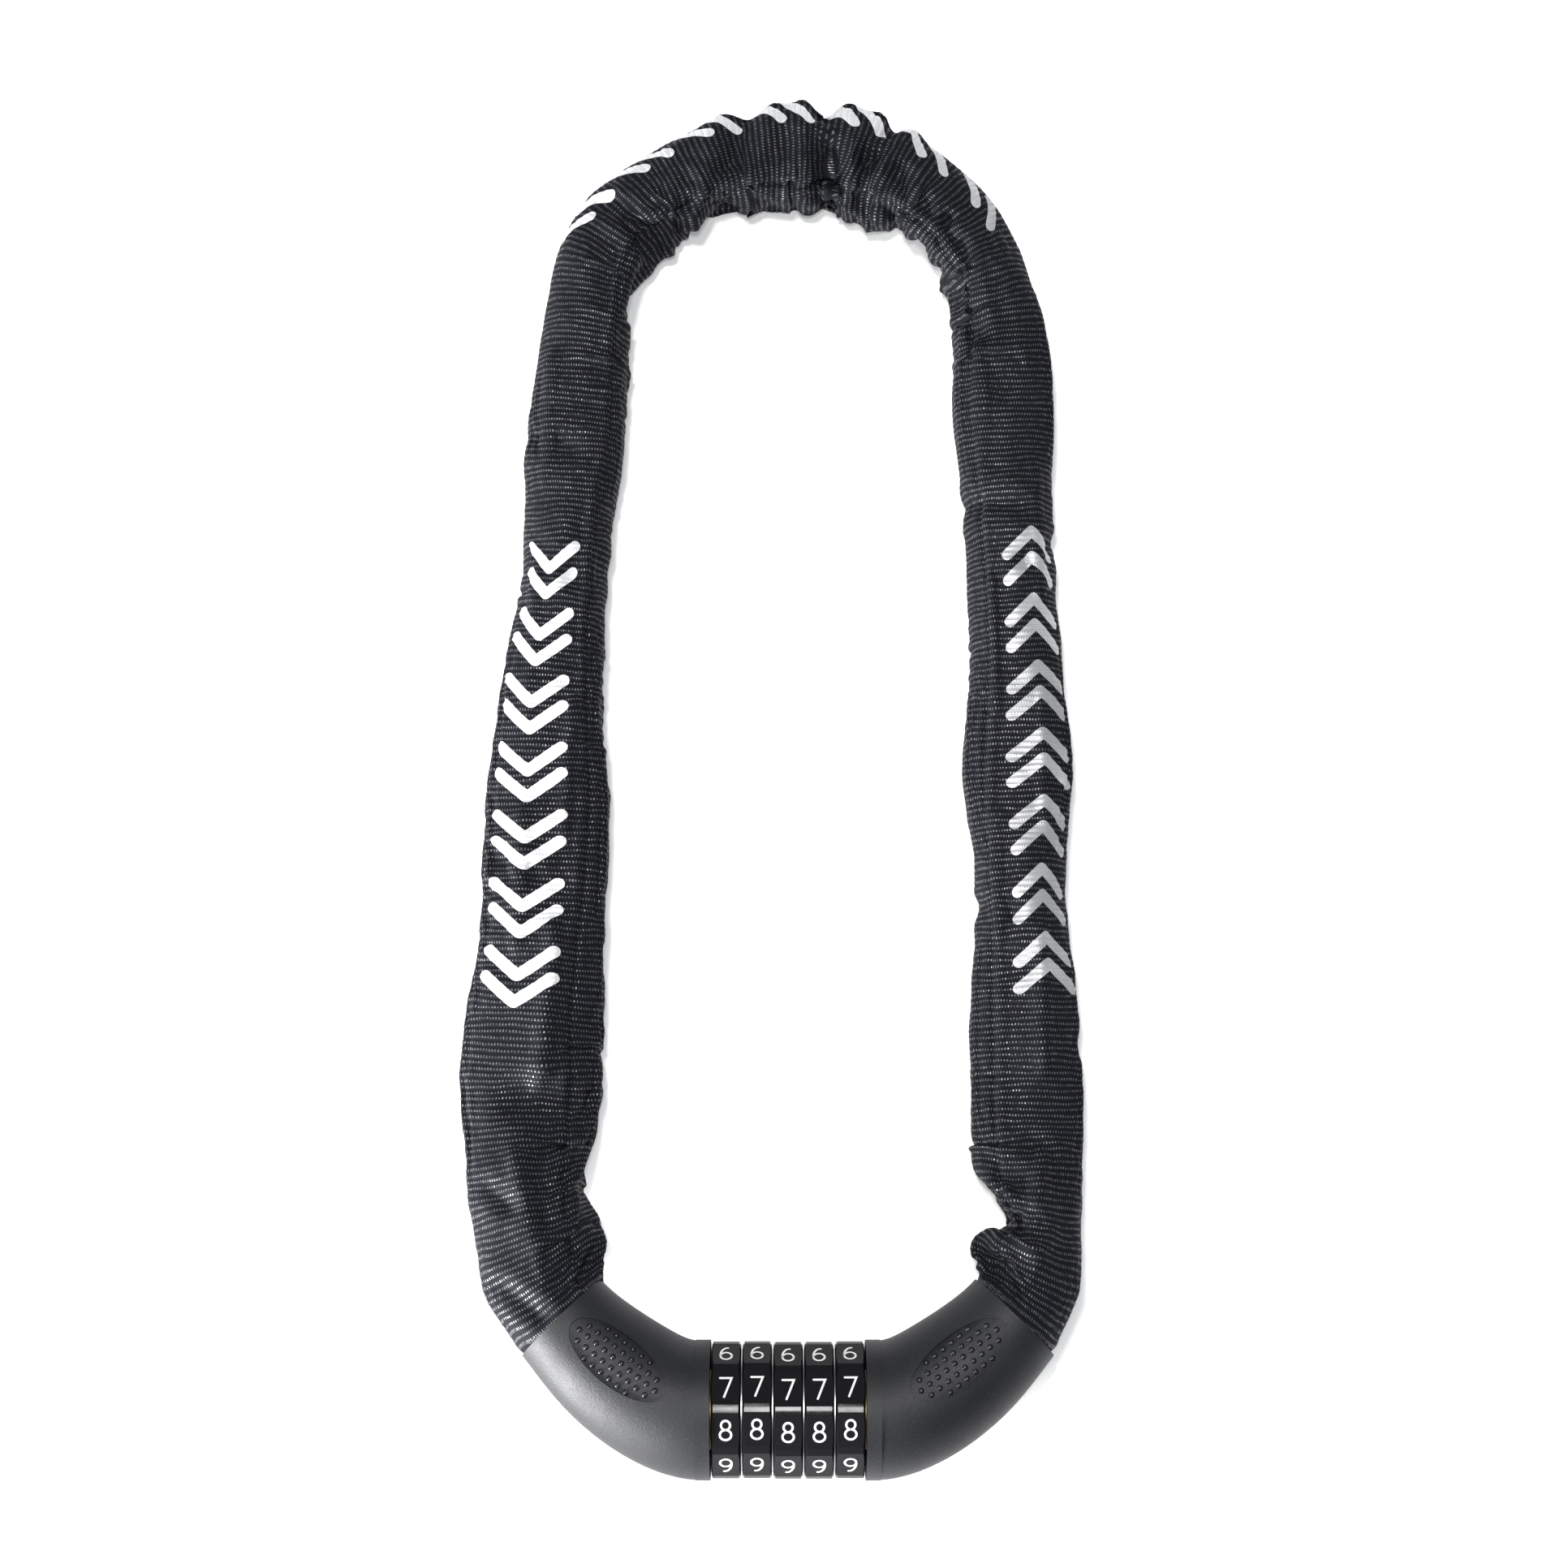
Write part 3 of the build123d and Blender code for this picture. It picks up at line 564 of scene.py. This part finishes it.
def build_grip_dots(node, body, side, material):
    """Rounds off the raised dots of one grip pad; each dome stands over one dot of the housing."""
    housing = frame["nodes"][node]
    into = housing.matrix_world.inverted()
    vertices = []
    faces = []
    around = DOT_AROUND
    rings = DOT_RINGS
    half_length = GRIP_LENGTH / 2 - END_MARGIN
    half_width = GRIP_WIDTH / 2 - SIDE_MARGIN
    for row in range(-(GRIP_ROWS // 2), GRIP_ROWS // 2 + 1):
        across = row * DOT_PITCH * ROW_SHARE
        for column in range(GRIP_COLUMNS):
            along = (column - (GRIP_COLUMNS - 1) / 2 + 0.5 * (row % 2)) * DOT_PITCH
            if (along / half_length) ** 2 + (across / half_width) ** 2 > 1:
                continue
            above = grip_point(along, across, 30, side)
            out = above - grip_point(along, across, 29, side)
            start = into @ Vector(above * MM)
            down = (into.to_3x3() @ Vector(-out)).normalized()
            hit, place, _, _ = housing.ray_cast(start, down)
            if not hit:
                continue
            foot = np.array(housing.matrix_world @ place) / MM - DOT_LIFT * out
            first = np.cross(out, (0, 1, 0))
            first /= np.linalg.norm(first)
            second = np.cross(out, first)
            base = len(vertices)
            for ring in range(rings):
                t = math.pi / 2 * ring / rings
                for j in range(around):
                    a = 2 * math.pi * j / around
                    level = math.cos(a) * first + math.sin(a) * second
                    at = foot + DOT_RADIUS * math.cos(t) * level + DOT_HEIGHT * math.sin(t) * out
                    vertices.append(tuple(at * MM))
            vertices.append(tuple((foot + DOT_HEIGHT * out) * MM))
            faces.append(tuple(base + j for j in reversed(range(around))))
            for ring in range(rings - 1):
                for j in range(around):
                    a = base + ring * around + j
                    b = base + ring * around + (j + 1) % around
                    faces.append((a, b, b + around, a + around))
            top = base + (rings - 1) * around
            for j in range(around):
                faces.append((top + j, top + (j + 1) % around, base + rings * around))
    mesh = bpy.data.meshes.new(f"{node}_dots")
    mesh.from_pydata(vertices, [], faces)
    mesh.polygons.foreach_set("use_smooth", np.ones(len(faces), bool))
    mesh.materials.append(material)
    dots = bpy.data.objects.new(mesh.name, mesh)
    bpy.context.scene.collection.objects.link(dots)
    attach(dots, body)


# ---------------------------------------------------------------- the core's spring
SPRING_FROM = -22.35  # along the dial axis, from LOCK
SPRING_TO = -18.65
SPRING_RADIUS = 7.3
SPRING_WIRE = 0.3
SPRING_TURNS = 3
SPRING_STEPS = 48  # in a turn
SPRING_AROUND = 10


def build_spring(material):
    """The coil behind the core, built at one length; it does not close up as the core is pushed in."""
    steps = SPRING_STEPS * SPRING_TURNS
    around = SPRING_AROUND
    vertices = []
    for i in range(steps + 1):
        turn = 2 * math.pi * SPRING_TURNS * i / steps
        x = SPRING_FROM + (SPRING_TO - SPRING_FROM) * i / steps
        for j in range(around):
            t = 2 * math.pi * j / around
            radius = SPRING_RADIUS + SPRING_WIRE * math.cos(t)
            place = (x + SPRING_WIRE * math.sin(t), radius * math.cos(turn), radius * math.sin(turn))
            vertices.append(tuple((LOCK + place) * MM))
    faces = [tuple(range(around)), tuple(steps * around + j for j in reversed(range(around)))]
    for i in range(steps):
        for j in range(around):
            a, b = i * around + j, i * around + (j + 1) % around
            faces.append((b, a, a + around, b + around))
    mesh = bpy.data.meshes.new("return_coil")
    mesh.from_pydata(vertices, [], faces)
    mesh.materials.append(material)
    coil = bpy.data.objects.new("return_coil", mesh)
    bpy.context.scene.collection.objects.link(coil)
    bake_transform(coil)
    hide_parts("return_spring")


# ---------------------------------------------------------------- numerals
def arc(cx, cy, rx, ry, start, end, steps=20):
    """Points along part of an ellipse; angles in degrees, anticlockwise from +x."""
    a = np.radians(np.linspace(start, end, steps))
    return list(zip(cx + rx * np.cos(a), cy + ry * np.sin(a)))


# Strokes of each numeral in a box 0.6 wide and 1 high, centred on the origin.
NUMERALS = {
    0: [arc(0, 0, 0.28, 0.5, 90, 450, 40)],
    1: [[(-0.16, 0.32), (0.04, 0.5), (0.04, -0.5)]],
    2: [arc(0, 0.22, 0.28, 0.28, 170, -30) + [(-0.29, -0.5), (0.3, -0.5)]],
    3: [arc(-0.02, 0.24, 0.26, 0.26, 150, -90), arc(-0.02, -0.22, 0.29, 0.28, 90, -150)],
    4: [[(0.12, -0.5), (0.12, 0.5), (-0.3, -0.2), (0.32, -0.2)]],
    5: [[(0.25, 0.5), (-0.2, 0.5), (-0.25, 0.06)] + arc(-0.02, -0.19, 0.3, 0.31, 132, -145)],
    6: [arc(0, -0.2, 0.29, 0.3, 0, 360, 32), arc(0.06, -0.12, 0.35, 0.62, 85, 190)],
    7: [[(-0.29, 0.5), (0.3, 0.5), (-0.08, -0.5)]],
    8: [arc(0, 0.26, 0.23, 0.24, -90, 270, 32), arc(0, -0.24, 0.29, 0.26, -90, 270, 32)],
    9: [arc(0, 0.2, 0.29, 0.3, 0, 360, 32), arc(-0.06, 0.12, 0.35, 0.62, 265, 370)],
}
NUMERAL_HEIGHT = 3.9
NUMERAL_STROKE = 0.21  # half the stroke
PAINT_THICKNESS = 0.03
PAINT_SINK = 0.015  # the paint's underside, below the flat


def ribbon(points, half_width, segments=6):
    """A flat stroke with round ends along a polyline: vertices (x, y) and faces."""
    p = np.array(points, float)
    d = np.gradient(p, axis=0)
    d /= np.linalg.norm(d, axis=1)[:, None] + 1e-12
    for k in range(1, len(p) - 1):
        a = (p[k] - p[k - 1]) / np.linalg.norm(p[k] - p[k - 1])
        b = (p[k + 1] - p[k]) / np.linalg.norm(p[k + 1] - p[k])
        d[k] = (a + b) / np.linalg.norm(a + b)
    vertices = []
    faces = []
    for k in range(len(p)):
        scale = half_width
        if 0 < k < len(p) - 1:
            a = (p[k] - p[k - 1]) / np.linalg.norm(p[k] - p[k - 1])
            scale = half_width / max(0.5, float(a @ d[k]))
        side = np.array([-d[k][1], d[k][0]]) * scale
        vertices += [p[k] + side, p[k] - side]
        if k:
            m = 2 * k
            faces.append((m - 2, m - 1, m + 1, m))
    for end, sign in ((0, -1), (len(p) - 1, 1)):
        heading = math.atan2(d[end][1] * sign, d[end][0] * sign)
        base = len(vertices)
        vertices.append(p[end])
        for t in range(segments + 1):
            a = heading - math.pi / 2 + math.pi * t / segments
            vertices.append(p[end] + half_width * np.array([math.cos(a), math.sin(a)]))
        for t in range(segments):
            faces.append((base, base + 1 + t, base + 2 + t))
    return vertices, faces


def numerals_mesh(dial, material):
    """The ten painted numerals of one dial, each lying on its flat."""
    vertices = []
    faces = []
    x0 = LOCK[0] + (dial - (DIALS - 1) / 2) * DIAL_PITCH
    for digit in range(DIGITS):
        lean = DIAL_LEAN + DIAL_PLAY[dial] - FLAT_ANGLE / 2 - FLAT_ANGLE * (SHOWN - digit)
        a = math.radians(lean)
        out = np.array([0, -math.sin(a), math.cos(a)])
        up = np.array([0, math.cos(a), math.sin(a)])
        for stroke in NUMERALS[digit]:
            points, polygons = ribbon(np.array(stroke) * NUMERAL_HEIGHT, NUMERAL_STROKE)
            base = len(vertices)
            for level in (0.0, PAINT_THICKNESS):
                for px, py in points:
                    at = out * (FACET_APOTHEM - PAINT_SINK + level) + up * py
                    vertices.append(((x0 + px) * MM, (LOCK[1] + at[1]) * MM, (LOCK[2] + at[2]) * MM))
            top = base + len(points)
            for polygon in polygons:
                faces.append(tuple(top + q for q in polygon))
                faces.append(tuple(base + q for q in reversed(polygon)))
    mesh = bpy.data.meshes.new(f"dial_{dial + 1}_numerals")
    mesh.from_pydata(vertices, [], faces)
    mesh.materials.append(material)
    obj = bpy.data.objects.new(mesh.name, mesh)
    bpy.context.scene.collection.objects.link(obj)
    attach(obj, f"dial_{dial + 1}")
    return obj


# ---------------------------------------------------------------- materials
class Nodes:
    """A short way to write a shader: every method makes a node and returns its output."""

    def __init__(self, name):
        self.material = bpy.data.materials.new(name)
        self.material.use_nodes = True
        self.tree = self.material.node_tree
        self.shader = self.tree.nodes["Principled BSDF"]

    def put(self, socket, value):
        if isinstance(value, bpy.types.NodeSocket):
            self.tree.links.new(value, socket)
        else:
            socket.default_value = value

    def math(self, operation, a, b=0.0, c=0.0, clamp=False):
        node = self.tree.nodes.new("ShaderNodeMath")
        node.operation = operation
        node.use_clamp = clamp
        for socket, value in zip(node.inputs, (a, b, c)):
            self.put(socket, value)
        return node.outputs[0]

    def mix(self, factor, a, b):
        node = self.tree.nodes.new("ShaderNodeMix")
        node.data_type = "RGBA"
        self.put(node.inputs[0], factor)
        self.put(node.inputs[6], a)
        self.put(node.inputs[7], b)
        return node.outputs[2]

    def object_place(self, scale=(1, 1, 1)):
        place = self.tree.nodes.new("ShaderNodeTexCoord").outputs["Object"]
        node = self.tree.nodes.new("ShaderNodeMapping")
        self.put(node.inputs["Vector"], place)
        node.inputs["Scale"].default_value = scale
        return node.outputs[0]

    def noise(self, place, scale, detail=2.0, roughness=0.5):
        node = self.tree.nodes.new("ShaderNodeTexNoise")
        self.put(node.inputs["Vector"], place)
        node.inputs["Scale"].default_value = scale
        node.inputs["Detail"].default_value = detail
        node.inputs["Roughness"].default_value = roughness
        return node.outputs["Fac"]

    def remap(self, value, low, high, to_low, to_high):
        node = self.tree.nodes.new("ShaderNodeMapRange")
        node.interpolation_type = "SMOOTHSTEP"
        self.put(node.inputs["Value"], value)
        ends = {"From Min": low, "From Max": high, "To Min": to_low, "To Max": to_high}
        for name, number in ends.items():
            self.put(node.inputs[name], number)
        return node.outputs[0]

    def bump(self, height, distance, strength=1.0):
        node = self.tree.nodes.new("ShaderNodeBump")
        node.inputs["Strength"].default_value = strength
        node.inputs["Distance"].default_value = distance
        self.put(node.inputs["Height"], height)
        return node.outputs[0]

    def set(self, **values):
        for name, value in values.items():
            self.put(self.shader.inputs[name.replace("_", " ")], value)
        return self.material


def grey(value, blue=1.0):
    return (value, value, value * blue, 1.0)


def sleeve_material():
    """Black ribbed webbing: rows of fine shiny threads with a painted highlight on their glint dots, and silver
    reflective chevrons painted darker on the plug side and in the rib valleys as painted shade.
    """
    m = Nodes("sleeve_webbing")
    uv = m.tree.nodes.new("ShaderNodeUVMap")
    uv.uv_map = "weave"
    split = m.tree.nodes.new("ShaderNodeSeparateXYZ")
    m.tree.links.new(uv.outputs[0], split.inputs[0])
    u, v = split.outputs[0], split.outputs[1]
    rib = m.math("ABSOLUTE", m.math("COSINE", m.math("MULTIPLY", u, math.pi / RIB_PITCH)))
    row = m.math("ROUND", m.math("DIVIDE", u, RIB_PITCH))
    phase = m.math("ADD", m.math("DIVIDE", v, THREAD_PITCH), m.math("MULTIPLY", row, 0.37))
    thread = m.math("ABSOLUTE", m.math("COSINE", m.math("MULTIPLY", phase, math.pi)))
    crest = m.remap(rib, 0.68, 0.97, 0.0, 1.0)
    dot = m.math("MULTIPLY", crest, m.remap(thread, 0.62, 0.93, 0.0, 1.0))
    place = m.object_place()
    fuzz = m.noise(place, 1400, 2, 0.6)
    patch = m.noise(place, 45, 3, 0.55)
    glint = m.math("MULTIPLY", dot, m.remap(fuzz, 0.38, 0.62, 0.25, 1.0))
    ground = m.mix(patch, (0.0052, 0.0056, 0.008, 1), (0.0078, 0.0084, 0.0118, 1))
    # The glint dots' base colour is lifted far above the black ground, a painted highlight; their lower roughness
    # and higher specular give the real shine.
    cloth = m.mix(glint, ground, (0.085, 0.089, 0.1, 1))
    mark = m.tree.nodes.new("ShaderNodeAttribute")
    mark.attribute_name = "mark"
    inside = m.remap(mark.outputs["Fac"], -0.09, 0.05, 1.0, 0.0)
    # The print is mixed in less in the rib valleys, so the chevrons are darker there: painted shade in the
    # valleys.
    overlay_share = m.math("MULTIPLY", inside, m.remap(rib, 0.0, 0.3, 0.7, 1.0))
    sheet = m.tree.nodes.new("ShaderNodeSeparateXYZ")
    m.tree.links.new(place, sheet.inputs[0])
    # The chevrons on the plug side are painted darker grey, in blotches: painted shade on the run that faces away
    # from the lamps.
    on_plug_side = m.remap(sheet.outputs[0], 0.02, 0.045, 0.0, 1.0)
    plug_side_painted_shade = m.math("MULTIPLY", on_plug_side, m.remap(patch, 0.35, 0.6, 0.55, 1.0))
    print_colour = m.mix(m.noise(place, 260, 2, 0.5), grey(0.8, 1.01), grey(0.92, 1.01))
    silver = m.mix(plug_side_painted_shade, print_colour, grey(0.4, 1.02))
    threads = m.math("MULTIPLY", thread, m.math("MULTIPLY", crest, 0.7))
    height = m.math("ADD", threads, m.math("MULTIPLY", crest, 0.3))
    rough = m.math("SUBTRACT", 0.75, m.math("MULTIPLY", glint, 0.43))
    shine = m.math("ADD", 0.1, m.math("MULTIPLY", glint, 0.8))
    return m.set(
        Base_Color=m.mix(overlay_share, cloth, silver),
        Metallic=m.math("MULTIPLY", overlay_share, 0.35),
        Roughness=m.math("ADD", rough, m.math("MULTIPLY", overlay_share, -0.25)),
        Specular_IOR_Level=shine,
        Normal=m.bump(height, 0.00006, 0.7),
    )


def housing_material():
    """Charcoal soft-touch plastic with a fine spark grain and a little handling sheen."""
    m = Nodes("housing_soft_touch")
    place = m.object_place()
    grain = m.noise(place, 3800, 2, 0.6)
    coarse = m.noise(place, 1500, 3, 0.6)
    smear = m.noise(place, 60, 4, 0.6)
    speck = m.remap(m.noise(place, 2600, 1, 0.5), 0.66, 0.78, 0.0, 1.0)
    tone = m.mix(smear, (0.0078, 0.0083, 0.0102, 1), (0.011, 0.0116, 0.0142, 1))
    return m.set(
        Base_Color=m.mix(m.math("MULTIPLY", speck, 0.25), tone, grey(0.09, 1.05)),
        Roughness=m.remap(smear, 0.3, 0.7, 0.5, 0.6),
        Specular_IOR_Level=0.4,
        Normal=m.bump(m.math("ADD", grain, m.math("MULTIPLY", coarse, 0.8)), 0.00007, 0.8),
    )


def grip_material():
    """The dots, darker and shinier than the plastic round them; the darker colour is painted shade."""
    m = Nodes("grip_dots")
    dot_mottle = m.noise(m.object_place(), 500, 3, 0.6)
    return m.set(
        # Both dot colours are darker than the housing's plastic: painted shade.
        Base_Color=m.mix(dot_mottle, grey(0.004, 1.15), grey(0.009, 1.15)),
        Roughness=m.remap(dot_mottle, 0.3, 0.7, 0.26, 0.4),
        Specular_IOR_Level=0.5,
    )


def dial_material():
    """Glossy black plastic with hairlines round each dial and scuffed edges."""
    m = Nodes("dial_gloss")
    hair = m.noise(m.object_place((9, 0.4, 0.4)), 900, 3, 0.6)
    scuff = m.noise(m.object_place(), 700, 4, 0.65)
    mottle = m.remap(m.noise(m.object_place(), 130, 3, 0.6), 0.35, 0.7, 0.0, 1.0)
    overlay_share = m.remap(scuff, 0.62, 0.74, 0.0, 0.2)
    return m.set(
        Base_Color=m.mix(overlay_share, grey(0.009, 1.15), grey(0.05, 1.02)),
        Roughness=m.math("ADD", m.math("MULTIPLY", mottle, 0.06), m.remap(hair, 0.4, 0.7, 0.07, 0.14)),
        Specular_IOR_Level=0.12,
        Normal=m.bump(hair, 0.00001, 0.25),
    )


def paint_material():
    m = Nodes("numeral_paint")
    thin = m.noise(m.object_place(), 2200, 2, 0.6)
    return m.set(
        Base_Color=m.mix(m.remap(thin, 0.55, 0.75, 0.0, 0.5), grey(0.82), grey(0.5)),
        Roughness=0.45,
    )


def metal_material(name, light, dark, roughness, stretch):
    """Worked metal: fine lines from turning or drawing, with duller patches."""
    m = Nodes(name)
    lines = m.noise(m.object_place(stretch), 700, 3, 0.6)
    patch = m.noise(m.object_place(), 160, 3, 0.6)
    return m.set(
        Base_Color=m.mix(patch, light, dark),
        Metallic=1.0,
        Roughness=m.math("ADD", roughness, m.math("MULTIPLY", patch, 0.15)),
        Normal=m.bump(lines, 0.00002, 0.4),
    )


def dress():
    """Puts each CAD node in its material; gives back the spring steel."""
    housing = housing_material()
    dial = dial_material()
    zinc = metal_material("zinc_casting", grey(0.42, 1.03), grey(0.3, 1.03), 0.42, (1, 1, 1))
    steel = metal_material("turned_steel", grey(0.62), grey(0.5), 0.22, (8, 0.5, 0.5))
    spring = metal_material("spring_steel", grey(0.55, 1.02), grey(0.4, 1.02), 0.25, (1, 1, 1))
    brass = metal_material("dulled_brass", (0.4, 0.29, 0.13, 1), (0.27, 0.19, 0.09, 1), 0.34, (6, 1, 1))
    chain = metal_material("plated_chain", grey(0.6, 1.02), grey(0.46, 1.0), 0.28, (1, 1, 1))
    finish = {}
    for entry in frame["record"]["subparts"]:
        finish[entry["node"]] = entry["material_slot"]
    by_slot = {
        "housing": housing,
        "dial": dial,
        "die_cast": zinc,
        "hard_steel": steel,
        "spring_steel": spring,
        "core_brass": brass,
        "code_brass": brass,
        "chain": chain,
        "sleeve": housing,
    }
    for name, obj in frame["nodes"].items():
        obj.data.materials.clear()
        obj.data.materials.append(by_slot[finish[name]])
    return spring


# ---------------------------------------------------------------- stage, light and camera
def area_light(name, place, target, size, power):
    data = bpy.data.lights.new(name, "AREA")
    data.energy = power
    data.size = size
    light = bpy.data.objects.new(name, data)
    light.location = place
    light.rotation_euler = (Vector(target) - Vector(place)).to_track_quat("-Z", "Y").to_euler()
    bpy.context.scene.collection.objects.link(light)
    return light


def build_stage():
    bpy.ops.mesh.primitive_plane_add(size=6, location=(0, 0, 0))
    floor = bpy.context.object
    floor.name = "floor"
    m = Nodes("white_surface")
    white = m.mix(m.noise(m.object_place(), 30, 2), grey(0.89), grey(0.91))
    m.set(Base_Color=white, Roughness=0.9, Specular_IOR_Level=0.1)
    m.set(Emission_Color=grey(1.0), Emission_Strength=0.25)
    floor.data.materials.append(m.material)
    world = bpy.data.worlds.new("studio")
    bpy.context.scene.world = world
    world.use_nodes = True
    world.node_tree.nodes["Background"].inputs[0].default_value = (0.9, 0.95, 1.0, 1)
    world.node_tree.nodes["Background"].inputs[1].default_value = 0.26
    area_light("key", (-0.16, 0.15, 1.35), (0, 0, 0), 0.16, 12)
    area_light("side", (-0.5, -0.42, 0.08), (-0.03, -0.12, 0.01), 0.2, 18)
    area_light("overhead", (0.0, -0.09, 0.9), (0, -0.1, 0), 0.1, 2.4)


def build_camera():
    data = bpy.data.cameras.new("camera")
    data.lens = 70.54
    data.sensor_width = 36
    data.clip_start = 0.01
    camera = bpy.data.objects.new("camera", data)
    camera.location = (0.001846, -0.11732, 0.6481)
    target = Vector((0.001846, -0.00446, 0.008))
    camera.rotation_euler = (target - camera.location).to_track_quat("-Z", "Y").to_euler()
    bpy.context.scene.collection.objects.link(camera)
    bpy.context.scene.camera = camera


build_spring(dress())
grip = grip_material()
build_grip_dots("lock_housing_upper", "lock_body", -1, grip)
build_grip_dots("plug_housing_upper", "plug", 1, grip)
build_sleeve(sleeve_material())
paint = paint_material()
for number in range(DIALS):
    numerals_mesh(number, paint)
build_stage()
build_camera()
bpy.context.scene.view_settings.view_transform = "Standard"
